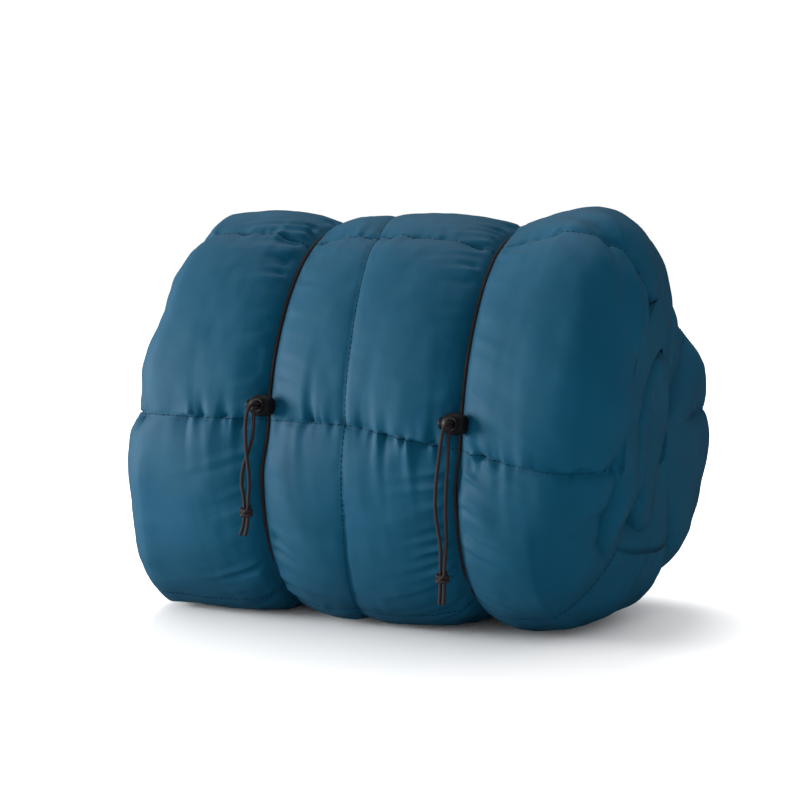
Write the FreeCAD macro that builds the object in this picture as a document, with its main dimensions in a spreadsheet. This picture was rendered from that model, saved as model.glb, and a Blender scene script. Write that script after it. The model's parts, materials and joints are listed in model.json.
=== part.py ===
import FreeCAD, Part
import math
import os
import Sketcher

# A quilted camp blanket, folded in thirds, rolled up and cinched by two elastic cords with cord locks.
#
# Millimetres. X runs along the roll, -Y is the side of the cord locks, +Z is up, the floor is z = 0.
# A roll angle is measured about the roll's axis, from the front (-Y), over the top (+Z) to the back.
# Each lock is drawn in a frame of its own: X along the roll, Y along the roll's surface, Z outwards.

SIZES = {
    "roll_length": 414,
    "lobe_radius": 171,
    "axis_height": 166,
    "end_radius": 57,
    "shoulder_radius": 60,
    "groove_radius": 152,
    "groove_half_width": 3,
    "left_groove": 73.5,
    "right_groove": 88.5,
    "skin_thickness": 0.8,
    "turn_pitch": 42,
    "first_turn_radius": 144,
    "free_end_angle": 150,
    "left_lock_angle": 9,
    "right_lock_angle": 7,
    "cord_diameter": 2.8,
    "cord_gap": 0.2,
    "strand_offset": 1.5,
    "entry_bend_radius": 3.5,
    "lock_centre_radius": 166.2,
    "barrel_radius": 8.7,
    "barrel_half_length": 8.6,
    "barrel_end_radius": 6.4,
    "barrel_edge_radius": 1.6,
    "collar_radius": 5.6,
    "collar_top": 9.6,
    "collar_edge_radius": 0.7,
    "cord_hole_radius": 3.7,
    "bore_radius": 4.6,
    "bore_end": 7.5,
    "plunger_radius": 4.5,
    "plunger_tip": 12.6,
    "plunger_end": 2.9,
    "plunger_edge_radius": 1.2,
    "slot_near": 1.6,
    "slot_far": 4.4,
    "slot_width": 6.4,
    "spring_wire": 0.45,
    "spring_radius": 3.2,
    "spring_turns": 3.5,
    "spring_gap": 0.03,
    "knot_radius": 4.6,
    "knot_spacing": 1.6,
    "knot_gap": 0.05,
    "keeper_length": 10,
    "keeper_half_width": 2.5,
    "keeper_thickness": 0.6,
    "keeper_foot_gap": 0.05,
}

# Routes of the four free tails, from the lock's mouth down to the tip, past the knot that joins each pair.
LEFT_TAIL_A = [
    (-73.5, -173.75, 195.04),
    (-74.4, -178.9, 195.8),
    (-76.7, -182.9, 191.4),
    (-78.1, -184.0, 183.0),
    (-78.5, -183.6, 170.0),
    (-77.4, -184.4, 157.0),
    (-76.1, -183.4, 143.5),
    (-75.9, -182.6, 131.0),
    (-77.4, -182.1, 121.0),
    (-77.4, -182.1, 100.5),
    (-80.1, -182.6, 91.5),
]
LEFT_TAIL_B = [
    (-73.5, -174.22, 192.07),
    (-73.2, -178.3, 192.3),
    (-72.7, -180.7, 188.5),
    (-72.5, -180.9, 181.0),
    (-73.5, -180.8, 168.5),
    (-77.9, -181.0, 156.5),
    (-82.1, -181.4, 145.0),
    (-83.5, -181.9, 132.0),
    (-80.6, -182.1, 121.0),
    (-80.6, -182.1, 100.5),
    (-84.4, -182.7, 91.5),
]
RIGHT_TAIL_A = [
    (88.5, -174.66, 188.95),
    (87.7, -179.8, 189.4),
    (86.1, -183.4, 185.2),
    (85.1, -184.3, 177.5),
    (83.1, -184.0, 164.0),
    (80.2, -183.5, 143.0),
    (79.4, -183.2, 122.0),
    (82.7, -183.3, 105.0),
    (84.6, -183.4, 93.0),
    (84.2, -183.05, 82.0),
    (84.2, -183.05, 61.0),
    (83.3, -183.3, 51.0),
]
RIGHT_TAIL_B = [
    (88.5, -175.02, 185.98),
    (88.8, -179.1, 186.0),
    (89.4, -181.3, 182.2),
    (89.7, -181.6, 174.5),
    (89.1, -181.4, 160.0),
    (87.8, -181.5, 140.0),
    (87.1, -181.0, 120.0),
    (88.2, -181.3, 103.0),
    (88.2, -182.2, 93.0),
    (87.4, -183.05, 82.0),
    (87.4, -183.05, 61.0),
    (86.8, -183.4, 51.5),
]
LEFT_KNOT = (-79.0, -182.1, 110.5)
RIGHT_KNOT = (85.8, -183.05, 71.5)

BENT_SHARE = 0.45
ALL_ROUND = 360

doc = FreeCAD.newDocument("camp_blanket")
sheet = doc.addObject("Spreadsheet::Sheet", "sizes")
for row, (alias, value) in enumerate(SIZES.items(), 1):
    sheet.set(f"A{row}", alias)
    sheet.set(f"B{row}", str(value))
    sheet.setAlias(f"B{row}", alias)
doc.recompute()

PARTS = []


def size(alias):
    """The number that the sheet holds under this alias."""
    return float(sheet.get(alias))


def sub_part(item, label):
    """Marks a document object as one sub-part, whose label names its file."""
    item.Label = label
    PARTS.append(item)
    return item


def lift_to_axis(item):
    """Raises a piece drawn about the roll's axis to the axis's height over the floor."""
    item.setExpression("Placement.Base.z", "sizes.axis_height")


def turn_to_angle(item, side, outward="0"):
    """Puts a piece drawn in a lock's frame at that lock's place; outward is its radius there."""
    angle = f"sizes.{side}_lock_angle"
    item.Placement = FreeCAD.Placement(
        FreeCAD.Vector(), FreeCAD.Rotation(FreeCAD.Vector(1, 0, 0), 90)
    )
    item.setExpression("Placement.Base.x", cord_plane(side))
    item.setExpression("Placement.Base.y", f"-({outward}) * cos({angle})")
    item.setExpression("Placement.Base.z", f"sizes.axis_height + ({outward}) * sin({angle})")
    item.setExpression("Placement.Rotation.Angle", f"90 - {angle}")


def cord_plane(side):
    """The groove's place along the roll, as an expression."""
    return {"left": "-sizes.left_groove", "right": "sizes.right_groove"}[side]


def base_plane(body, role):
    """One of the body's own origin planes, by its role."""
    return next(plane for plane in body.Origin.OriginFeatures if plane.Role == role)


def sketch_in(body, name, role, offset=0.0):
    """An empty sketch on an origin plane of the body, moved along its normal by offset."""
    sketch = body.newObject("Sketcher::SketchObject", name)
    sketch.AttachmentSupport = [(base_plane(body, role), "")]
    sketch.MapMode = "FlatFace"
    sketch.AttachmentOffset = FreeCAD.Placement(
        FreeCAD.Vector(0, 0, offset), FreeCAD.Rotation()
    )
    return sketch


def dimension(sketch, name, constraint, formula):
    """Adds a named dimension to the sketch and binds it to a formula of the sheet's cells."""
    index = sketch.addConstraint(constraint)
    sketch.renameConstraint(index, name)
    sketch.setExpression(f"Constraints.{name}", formula)


def circle_sketch(body, name, role, formula, offset=0.0):
    """A circle about the origin of a plane, with its radius bound to the sheet."""
    sketch = sketch_in(body, name, role, offset)
    sketch.addGeometry(Part.Circle(FreeCAD.Vector(), FreeCAD.Vector(0, 0, 1), 1.0))
    sketch.addConstraint(Sketcher.Constraint("Coincident", 0, 3, -1, 1))
    dimension(sketch, "radius", Sketcher.Constraint("Radius", 0, 1.0), formula)
    return sketch


# ---- the rolled quilt -------------------------------------------------------------------------------


def arc_about(x, y, radius, start, stop):
    """A sketch arc about (x, y) from one angle to another, in degrees."""
    circle = Part.Circle(FreeCAD.Vector(x, y, 0), FreeCAD.Vector(0, 0, 1), radius)
    return Part.ArcOfCircle(circle, math.radians(start), math.radians(stop))


def straight(start, stop):
    """A sketch line between two points."""
    return Part.LineSegment(FreeCAD.Vector(*start, 0), FreeCAD.Vector(*stop, 0))


def lobed_outline(name, inset):
    """Half section of the roll, X along it and Y its radius: three crowned lobes and two cord grooves.

    inset moves the whole outline inwards by that share of the skin's thickness.
    """
    skin = inset * size("skin_thickness")
    half = size("roll_length") / 2 - skin
    crown = size("lobe_radius") - skin
    end = size("end_radius") - skin
    shoulder = size("shoulder_radius") - skin
    floor = size("groove_radius") - skin
    flat = size("groove_half_width") + skin
    left = -size("left_groove")
    right = size("right_groove")
    drop = crown - floor
    run = math.sqrt(2 * shoulder * drop - drop * drop)
    rise = math.degrees(math.asin((shoulder - drop) / shoulder))
    hub = crown - shoulder
    reach = flat + run
    sketch = doc.addObject("Sketcher::SketchObject", name)
    sketch.addGeometry(
        [
            straight((-half, 0), (half, 0)),
            straight((-half, 0), (-half, crown - end)),
            arc_about(end - half, crown - end, end, 90, 180),
            straight((end - half, crown), (left - reach, crown)),
            arc_about(left - reach, hub, shoulder, rise, 90),
            straight((left - flat, floor), (left + flat, floor)),
            arc_about(left + reach, hub, shoulder, 90, 180 - rise),
            straight((left + reach, crown), (right - reach, crown)),
            arc_about(right - reach, hub, shoulder, rise, 90),
            straight((right - flat, floor), (right + flat, floor)),
            arc_about(right + reach, hub, shoulder, 90, 180 - rise),
            straight((right + reach, crown), (half - end, crown)),
            arc_about(half - end, crown - end, end, 0, 90),
            straight((half, crown - end), (half, 0)),
        ]
    )
    axis, left_face, left_end, left_crown, shoulder_a, left_floor, shoulder_b = range(7)
    middle_crown, shoulder_c, right_floor, shoulder_d, right_crown, right_end, right_face = range(7, 14)
    rules = [
        ("Horizontal", axis),
        ("Symmetric", axis, 1, axis, 2, -1, 1),
        ("Coincident", axis, 1, left_face, 1),
        ("Vertical", left_face),
        ("Tangent", left_face, 2, left_end, 2),
        ("Tangent", left_end, 1, left_crown, 1),
        ("Horizontal", left_crown),
        ("Tangent", left_crown, 2, shoulder_a, 2),
        ("Coincident", shoulder_a, 1, left_floor, 1),
        ("Horizontal", left_floor),
        ("Coincident", left_floor, 2, shoulder_b, 2),
        ("Tangent", shoulder_b, 1, middle_crown, 1),
        ("Horizontal", middle_crown),
        ("Tangent", middle_crown, 2, shoulder_c, 2),
        ("Coincident", shoulder_c, 1, right_floor, 1),
        ("Horizontal", right_floor),
        ("Coincident", right_floor, 2, shoulder_d, 2),
        ("Tangent", shoulder_d, 1, right_crown, 1),
        ("Horizontal", right_crown),
        ("Tangent", right_crown, 2, right_end, 2),
        ("Tangent", right_end, 1, right_face, 1),
        ("Vertical", right_face),
        ("Coincident", right_face, 2, axis, 2),
        ("Equal", left_end, right_end),
        ("Equal", shoulder_a, shoulder_b),
        ("Equal", shoulder_a, shoulder_c),
        ("Equal", shoulder_a, shoulder_d),
        ("Horizontal", left_crown, 1, middle_crown, 1),
        ("Horizontal", right_crown, 1, middle_crown, 1),
        ("Horizontal", left_floor, 1, right_floor, 1),
    ]
    for rule in rules:
        sketch.addConstraint(Sketcher.Constraint(*rule))
    depth = f"{inset} * sizes.skin_thickness"
    dimensions = [
        ("half_length", ("DistanceX", axis, 2, half), f"sizes.roll_length / 2 - {depth}"),
        ("crown", ("DistanceY", middle_crown, 1, crown), f"sizes.lobe_radius - {depth}"),
        ("end", ("Radius", right_end, end), f"sizes.end_radius - {depth}"),
        ("shoulder", ("Radius", shoulder_a, shoulder), f"sizes.shoulder_radius - {depth}"),
        ("floor", ("DistanceY", left_floor, 1, floor), f"sizes.groove_radius - {depth}"),
        (
            "left_near",
            ("DistanceX", left_floor, 2, -1, 1, -left - flat),
            f"sizes.left_groove - sizes.groove_half_width - {depth}",
        ),
        (
            "left_far",
            ("DistanceX", left_floor, 1, -1, 1, flat - left),
            f"sizes.left_groove + sizes.groove_half_width + {depth}",
        ),
        (
            "right_near",
            ("DistanceX", right_floor, 1, right - flat),
            f"sizes.right_groove - sizes.groove_half_width - {depth}",
        ),
        (
            "right_far",
            ("DistanceX", right_floor, 2, right + flat),
            f"sizes.right_groove + sizes.groove_half_width + {depth}",
        ),
    ]
    for title, rule, formula in dimensions:
        dimension(sketch, title, Sketcher.Constraint(*rule), formula)
    return sketch


def rolled_envelope(name, inset):
    """The lobed outline turned about the roll's axis and flattened where the roll lies on the floor."""
    turned = doc.addObject("Part::Revolution", f"{name}_turned")
    turned.Source = lobed_outline(f"{name}_outline", inset)
    turned.Axis = FreeCAD.Vector(1, 0, 0)
    turned.Base = FreeCAD.Vector()
    turned.Angle = ALL_ROUND
    turned.Solid = True
    room = doc.addObject("Part::Box", f"{name}_room")
    room.setExpression("Length", "sizes.roll_length")
    room.setExpression("Width", "2 * sizes.lobe_radius")
    room.setExpression("Height", "2 * sizes.lobe_radius")
    room.setExpression("Placement.Base.x", "-sizes.roll_length / 2")
    room.setExpression("Placement.Base.y", "-sizes.lobe_radius")
    room.setExpression("Placement.Base.z", f"{inset} * sizes.skin_thickness - sizes.axis_height")
    envelope = doc.addObject("Part::Common", name)
    envelope.Base = turned
    envelope.Tool = room
    return envelope


def lobe_rooms():
    """Three boxes side by side, one round each lobe, that meet in the middle of the two grooves."""
    spans = [
        ("-sizes.roll_length / 2", "-sizes.left_groove"),
        ("-sizes.left_groove", "sizes.right_groove"),
        ("sizes.right_groove", "sizes.roll_length / 2"),
    ]
    rooms = []
    for number, (start, stop) in enumerate(spans):
        room = doc.addObject("Part::Box", f"lobe_room_{number}")
        room.setExpression("Length", f"({stop}) - ({start})")
        room.setExpression("Width", "2 * sizes.lobe_radius")
        room.setExpression("Height", "2 * sizes.lobe_radius")
        room.setExpression("Placement.Base.x", start)
        room.setExpression("Placement.Base.y", "-sizes.lobe_radius")
        room.setExpression("Placement.Base.z", "-sizes.lobe_radius")
        rooms.append(room)
    return rooms


def along_roll(angle):
    """Unit vector across the roll at a roll angle in degrees."""
    turn = math.radians(angle)
    return FreeCAD.Vector(0, -math.cos(turn), math.sin(turn))


def spiral_ribbon():
    """The rolled-up lining: half circles about two centres in turn, each half a pitch smaller."""
    pitch = size("turn_pitch")
    start = size("free_end_angle")
    thickness = size("skin_thickness")
    axis = FreeCAD.Vector(1, 0, 0)
    offset = pitch / 4
    outer = []
    inner = []
    radius = size("first_turn_radius") - offset
    centre_side = 1
    while radius > pitch / 2:
        centre = along_roll(start) * (offset * centre_side)
        for edges, r in ((outer, radius + thickness / 2), (inner, radius - thickness / 2)):
            stops = [centre + along_roll(start + turn) * r for turn in (0, 90, 180)]
            if centre_side < 0:
                stops = [centre + along_roll(start + turn) * r for turn in (180, 270, 360)]
            edges.append(Part.Arc(*stops).toShape())
        centre_side = -centre_side
        radius -= pitch / 2
    caps = [
        Part.makeLine(outer[0].Vertexes[0].Point, inner[0].Vertexes[0].Point),
        Part.makeLine(outer[-1].Vertexes[-1].Point, inner[-1].Vertexes[-1].Point),
    ]
    loop = Part.Wire(Part.__sortEdges__(outer + inner + caps))
    face = Part.Face(loop)
    face.translate(axis * (-size("roll_length") / 2))
    ribbon = doc.addObject("Part::Feature", "lining_ribbon")
    ribbon.Shape = face.extrude(axis * size("roll_length"))
    return ribbon


def boolean(kind, name, base, tool):
    """A document boolean of two objects."""
    result = doc.addObject(kind, name)
    result.Base = base
    result.Tool = tool
    return result


def make_quilt():
    """The blanket's face fabric, its batting and its lining."""
    outside = rolled_envelope("outside", 0)
    inside = rolled_envelope("inside", 1)
    skin = boolean("Part::Cut", "skin", outside, inside)
    lobes = []
    for number, room in enumerate(lobe_rooms()):
        lobes.append(boolean("Part::Common", f"lobe_{number}", skin, room))
    face = doc.addObject("Part::Compound", "face_fabric")
    face.Links = lobes
    ribbon = spiral_ribbon()
    lining = boolean("Part::Common", "lining_fabric", inside, ribbon)
    batting = boolean("Part::Cut", "batting", inside, ribbon)
    for item in (face, lining, batting):
        lift_to_axis(item)
        sub_part(item, item.Name)


# ---- the elastic cords ------------------------------------------------------------------------------


def round_section(path, radius):
    """A round section swept along a wire of lines and tangent arcs."""
    start = path.Edges[0]
    along = start.tangentAt(start.FirstParameter)
    profile = Part.Wire(Part.makeCircle(radius, start.valueAt(start.FirstParameter), along))
    return path.makePipeShell([profile], True, False)


def held_loop(side):
    """The part of a cord that grips the roll: once round the groove, then out through the lock."""
    section = size("cord_diameter") / 2
    loop = size("groove_radius") + section + size("cord_gap")
    bend = size("entry_bend_radius")
    strand = size("strand_offset")
    mouth = size("lock_centre_radius") + size("collar_top")
    across = strand + bend
    hub = math.sqrt((loop + bend) ** 2 - across**2)
    share = loop / (loop + bend)

    def spot(along_surface, outwards):
        return FreeCAD.Vector(0, along_surface, outwards)

    def entry(sign):
        leaving = spot(sign * across * share, hub * share)
        centre = spot(sign * across, hub)
        middle = centre - (centre - leaving + spot(sign * bend, 0)).normalize() * bend
        return leaving, middle, spot(sign * strand, hub)

    up_leave, up_middle, up_end = entry(1)
    down_leave, down_middle, down_end = entry(-1)
    edges = [
        Part.LineSegment(spot(strand, mouth), up_end).toShape(),
        Part.Arc(up_end, up_middle, up_leave).toShape(),
        Part.Arc(up_leave, spot(0, -loop), down_leave).toShape(),
        Part.Arc(down_leave, down_middle, down_end).toShape(),
        Part.LineSegment(down_end, spot(-strand, mouth)).toShape(),
    ]
    path = Part.Wire(edges)
    cord = doc.addObject("Part::Feature", f"{side}_cord")
    cord.Shape = round_section(path, section)
    turn_to_angle(cord, side)
    sub_part(cord, cord.Name)
    report_tube(cord.Name, cord.Shape, path, section)


def rounded_route(points, name):
    """Straight runs joined by tangent arcs, each as large as its two runs allow."""
    corners = [FreeCAD.Vector(*point) for point in points]
    edges = []
    radii = []
    last = corners[0]
    for before, corner, after in zip(corners, corners[1:], corners[2:]):
        back = before - corner
        ahead = after - corner
        trim = BENT_SHARE * min(back.Length, ahead.Length)
        half_turn = (math.pi - back.getAngle(ahead)) / 2
        radius = trim / math.tan(half_turn)
        start = corner + back.normalize() * trim
        stop = corner + ahead.normalize() * trim
        inwards = (back + ahead).normalize()
        middle = corner + inwards * (radius / math.cos(half_turn) - radius)
        edges.append(Part.LineSegment(last, start).toShape())
        edges.append(Part.Arc(start, middle, stop).toShape())
        radii.append(round(radius, 1))
        last = stop
    edges.append(Part.LineSegment(last, corners[-1]).toShape())
    print(name, "arc radii", radii)
    return Part.Wire(edges)


def report_tube(name, shape, path, section):
    """Prints a tube's volume beside its section times its length."""
    expected = math.pi * section**2 * path.Length
    print(f"{name}: length {path.Length:.1f}, volume {shape.Volume:.1f} of {expected:.1f}")


def free_tail(name, points):
    """One free end of a cord, from the lock's mouth to its tip."""
    section = size("cord_diameter") / 2
    path = rounded_route(points, name)
    tail = doc.addObject("Part::Feature", name)
    tail.Shape = round_section(path, section)
    sub_part(tail, name)
    report_tube(name, tail.Shape, path, section)


def knot(name, centre):
    """The overhand knot that joins two tails: a round lump with a channel for each tail through it."""
    lump = doc.addObject("Part::Sphere", f"{name}_lump")
    lump.setExpression("Radius", "sizes.knot_radius")
    lump.Placement.Base = FreeCAD.Vector(*centre)
    for strand, sign in (("a", "+"), ("b", "-")):
        channel = doc.addObject("Part::Cylinder", f"{name}_channel_{strand}")
        channel.setExpression("Radius", "sizes.cord_diameter / 2 + sizes.knot_gap")
        channel.setExpression("Height", "4 * sizes.knot_radius")
        channel.setExpression("Placement.Base.x", f"{centre[0]} {sign} sizes.knot_spacing")
        channel.setExpression("Placement.Base.y", f"{centre[1]}")
        channel.setExpression("Placement.Base.z", f"{centre[2]} - 2 * sizes.knot_radius")
        lump = boolean("Part::Cut", f"{name}_with_channel_{strand}", lump, channel)
    sub_part(lump, name)


def make_cords():
    """Both held loops, their four tails, the two knots and the keepers sewn to the free hem."""
    for side in ("left", "right"):
        held_loop(side)
        make_keeper(side)
    free_tail("left_tail_a", LEFT_TAIL_A)
    free_tail("left_tail_b", LEFT_TAIL_B)
    free_tail("right_tail_a", RIGHT_TAIL_A)
    free_tail("right_tail_b", RIGHT_TAIL_B)
    knot("left_knot", LEFT_KNOT)
    knot("right_knot", RIGHT_KNOT)


def make_keeper(side):
    """A ribbon tunnel sewn to the blanket at its free end, over the cord in its groove."""
    half = size("keeper_half_width")
    wall = size("keeper_thickness")
    body = doc.addObject("PartDesign::Body", f"{side}_cord_keeper")
    sketch = sketch_in(body, f"{side}_keeper_outline", "XZ_Plane")
    rise = size("cord_diameter") / 2 + size("cord_gap")
    inner = half - wall
    sketch.addGeometry(
        [
            straight((-half, 0), (-half, rise)),
            arc_about(0, rise, half, 0, 180),
            straight((half, rise), (half, 0)),
            straight((half, 0), (inner, 0)),
            straight((inner, 0), (inner, rise)),
            arc_about(0, rise, inner, 0, 180),
            straight((-inner, rise), (-inner, 0)),
            straight((-inner, 0), (-half, 0)),
        ]
    )
    outer_left, outer_arc, outer_right, foot_right, inner_right, inner_arc, inner_left, foot_left = range(8)
    rules = [
        ("Vertical", outer_left),
        ("Vertical", outer_right),
        ("Vertical", inner_left),
        ("Vertical", inner_right),
        ("Horizontal", foot_right),
        ("Horizontal", foot_left),
        ("Tangent", outer_left, 2, outer_arc, 2),
        ("Tangent", outer_arc, 1, outer_right, 1),
        ("Coincident", outer_right, 2, foot_right, 1),
        ("Coincident", foot_right, 2, inner_right, 1),
        ("Tangent", inner_right, 2, inner_arc, 1),
        ("Tangent", inner_arc, 2, inner_left, 1),
        ("Coincident", inner_left, 2, foot_left, 1),
        ("Coincident", foot_left, 2, outer_left, 1),
        ("Coincident", outer_arc, 3, inner_arc, 3),
        ("PointOnObject", outer_arc, 3, -2),
        ("PointOnObject", foot_right, 1, -1),
        ("PointOnObject", foot_left, 1, -1),
    ]
    for rule in rules:
        sketch.addConstraint(Sketcher.Constraint(*rule))
    dimension(sketch, "half_width", Sketcher.Constraint("Radius", outer_arc, half), "sizes.keeper_half_width")
    dimension(
        sketch,
        "tunnel",
        Sketcher.Constraint("Radius", inner_arc, inner),
        "sizes.keeper_half_width - sizes.keeper_thickness",
    )
    dimension(
        sketch,
        "rise",
        Sketcher.Constraint("DistanceY", outer_arc, 3, rise),
        "sizes.cord_diameter / 2 + sizes.cord_gap",
    )
    pad = body.newObject("PartDesign::Pad", f"{side}_keeper_pad")
    pad.Profile = sketch
    pad.Midplane = True
    pad.setExpression("Length", "sizes.keeper_length")
    angle = "sizes.free_end_angle"
    radius = "(sizes.groove_radius + sizes.keeper_foot_gap)"
    body.Placement = FreeCAD.Placement(
        FreeCAD.Vector(), FreeCAD.Rotation(FreeCAD.Vector(1, 0, 0), -60)
    )
    body.setExpression("Placement.Base.x", cord_plane(side))
    body.setExpression("Placement.Base.y", f"-{radius} * cos({angle})")
    body.setExpression("Placement.Base.z", f"sizes.axis_height + {radius} * sin({angle})")
    body.setExpression("Placement.Rotation.Angle", f"90 - {angle}")
    sub_part(body, body.Name)


# ---- the cord locks ---------------------------------------------------------------------------------


def round_edges(body, name, feature, radius, chosen):
    """Fillets the edges of a feature that a test picks."""
    doc.recompute()
    edges = [
        f"Edge{number}"
        for number, edge in enumerate(feature.Shape.Edges, 1)
        if chosen(edge)
    ]
    fillet = body.newObject("PartDesign::Fillet", name)
    fillet.Base = (feature, edges)
    fillet.setExpression("Radius", radius)
    return fillet


def flat_ring_at(axis, place, radius):
    """A test for a full circle of this radius whose centre is at this place along an axis."""

    def chosen(edge):
        curve = edge.Curve
        if not isinstance(curve, Part.Circle) or abs(curve.Radius - radius) > 0.01:
            return False
        return abs(getattr(curve.Center, axis) - place) < 0.01

    return chosen


def make_barrel(side):
    """The lock's body: a round barrel with a raised mouth, a cord hole and a blind bore for the plunger."""
    half = size("barrel_half_length")
    end = size("barrel_end_radius")
    bulge = size("barrel_radius") - end
    arch = (half**2 + bulge**2) / (2 * bulge)
    hub = size("barrel_radius") - arch
    lean = math.degrees(math.asin(half / arch))
    body = doc.addObject("PartDesign::Body", f"{side}_lock_barrel")
    outline = sketch_in(body, f"{side}_barrel_outline", "XY_Plane")
    outline.addGeometry(
        [
            straight((-half, 0), (half, 0)),
            straight((-half, 0), (-half, end)),
            arc_about(0, hub, arch, 90 - lean, 90 + lean),
            straight((half, end), (half, 0)),
        ]
    )
    rules = [
        ("Horizontal", 0),
        ("Symmetric", 0, 1, 0, 2, -1, 1),
        ("Vertical", 1),
        ("Vertical", 3),
        ("Coincident", 0, 1, 1, 1),
        ("Coincident", 1, 2, 2, 2),
        ("Coincident", 2, 1, 3, 1),
        ("Coincident", 3, 2, 0, 2),
        ("PointOnObject", 2, 3, -2),
    ]
    for rule in rules:
        outline.addConstraint(Sketcher.Constraint(*rule))
    bulge_formula = "(sizes.barrel_radius - sizes.barrel_end_radius)"
    dimension(
        outline, "half_length", Sketcher.Constraint("DistanceX", 0, 2, half), "sizes.barrel_half_length"
    )
    dimension(outline, "end_radius", Sketcher.Constraint("DistanceY", 1, 2, end), "sizes.barrel_end_radius")
    dimension(
        outline,
        "arch",
        Sketcher.Constraint("Radius", 2, arch),
        f"(sizes.barrel_half_length^2 + {bulge_formula}^2) / (2 * {bulge_formula})",
    )
    turned = body.newObject("PartDesign::Revolution", f"{side}_barrel_turned")
    turned.Profile = outline
    turned.ReferenceAxis = (outline, ["H_Axis"])
    turned.Angle = ALL_ROUND

    def either_end(edge):
        return flat_ring_at("x", half, end)(edge) or flat_ring_at("x", -half, end)(edge)

    round_edges(body, f"{side}_barrel_edges", turned, "sizes.barrel_edge_radius", either_end)
    collar = body.newObject("PartDesign::Pad", f"{side}_collar")
    collar.Profile = circle_sketch(body, f"{side}_collar_circle", "XY_Plane", "sizes.collar_radius")
    collar.setExpression("Length", "sizes.collar_top")
    rim = flat_ring_at("z", size("collar_top"), size("collar_radius"))
    round_edges(body, f"{side}_collar_edge", collar, "sizes.collar_edge_radius", rim)
    bore = body.newObject("PartDesign::Pocket", f"{side}_bore")
    bore.Profile = circle_sketch(body, f"{side}_bore_circle", "YZ_Plane", "sizes.bore_radius", -half)
    bore.Reversed = True
    bore.setExpression("Length", "sizes.barrel_half_length + sizes.bore_end")
    hole = body.newObject("PartDesign::Pocket", f"{side}_cord_hole")
    hole.Profile = circle_sketch(body, f"{side}_hole_circle", "XY_Plane", "sizes.cord_hole_radius")
    hole.Midplane = True
    hole.setExpression("Length", "4 * sizes.collar_top")
    turn_to_angle(body, side, "sizes.lock_centre_radius")
    sub_part(body, body.Name)


def make_plunger(side):
    """The push button: a round plunger with a cross slot that pinches the cords against the barrel."""
    tip = size("plunger_tip")
    near = size("slot_near")
    far = size("slot_far")
    half_width = size("slot_width") / 2
    body = doc.addObject("PartDesign::Body", f"{side}_lock_plunger")
    rod = body.newObject("PartDesign::Pad", f"{side}_rod")
    rod.Profile = circle_sketch(body, f"{side}_rod_circle", "YZ_Plane", "sizes.plunger_radius", -tip)
    rod.setExpression("Length", "sizes.plunger_tip + sizes.plunger_end")
    head = flat_ring_at("x", -tip, size("plunger_radius"))
    round_edges(body, f"{side}_head_edge", rod, "sizes.plunger_edge_radius", head)
    slot = sketch_in(body, f"{side}_slot_outline", "XY_Plane")
    slot.addGeometry(
        [
            straight((-far, -half_width), (near, -half_width)),
            straight((near, -half_width), (near, half_width)),
            straight((near, half_width), (-far, half_width)),
            straight((-far, half_width), (-far, -half_width)),
        ]
    )
    for line in range(4):
        slot.addConstraint(Sketcher.Constraint("Coincident", line, 2, (line + 1) % 4, 1))
        slot.addConstraint(Sketcher.Constraint(("Horizontal", "Vertical")[line % 2], line))
    sides = [
        ("near", ("DistanceX", 1, 1, near), "sizes.slot_near"),
        ("far", ("DistanceX", 0, 1, -1, 1, far), "sizes.slot_far"),
        ("above", ("DistanceY", 1, 2, half_width), "sizes.slot_width / 2"),
        ("below", ("DistanceY", 1, 1, -1, 1, half_width), "sizes.slot_width / 2"),
    ]
    for title, rule, formula in sides:
        dimension(slot, title, Sketcher.Constraint(*rule), formula)
    cut = body.newObject("PartDesign::Pocket", f"{side}_slot")
    cut.Profile = slot
    cut.Midplane = True
    cut.setExpression("Length", "4 * sizes.plunger_radius")
    turn_to_angle(body, side, "sizes.lock_centre_radius")
    sub_part(body, body.Name)


def make_spring(side):
    """The coil spring between the plunger's inner end and the bottom of the bore."""
    wire = size("spring_wire")
    start = size("plunger_end") + wire / 2 + size("spring_gap")
    body = doc.addObject("PartDesign::Body", f"{side}_lock_spring")
    section = sketch_in(body, f"{side}_wire_section", "XY_Plane")
    section.addGeometry(
        Part.Circle(FreeCAD.Vector(start, size("spring_radius"), 0), FreeCAD.Vector(0, 0, 1), wire / 2)
    )
    dimension(section, "wire", Sketcher.Constraint("Radius", 0, wire / 2), "sizes.spring_wire / 2")
    dimension(
        section,
        "start",
        Sketcher.Constraint("DistanceX", 0, 3, start),
        "sizes.plunger_end + sizes.spring_wire / 2 + sizes.spring_gap",
    )
    dimension(
        section, "coil", Sketcher.Constraint("DistanceY", 0, 3, size("spring_radius")), "sizes.spring_radius"
    )
    room = "(sizes.bore_end - sizes.plunger_end - sizes.spring_wire - 2 * sizes.spring_gap)"
    coil = body.newObject("PartDesign::AdditiveHelix", f"{side}_coil")
    coil.Profile = section
    coil.ReferenceAxis = (section, ["H_Axis"])
    coil.Mode = "pitch-height-angle"
    coil.setExpression("Height", room)
    coil.setExpression("Pitch", f"{room} / sizes.spring_turns")
    turn_to_angle(body, side, "sizes.lock_centre_radius")
    sub_part(body, body.Name)


# ---- the whole blanket ------------------------------------------------------------------------------


def check_document():
    """Stops if any object failed, or if a sub-part has no valid shape."""
    for item in doc.Objects:
        if "Invalid" in item.State or "Error" in item.State:
            raise RuntimeError(f"{item.Label} did not build: {item.State}")
    for item in PARTS:
        if item.Shape.isNull() or not item.Shape.isValid() or not item.Shape.Solids:
            raise RuntimeError(f"{item.Label} has no valid solid")


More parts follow.
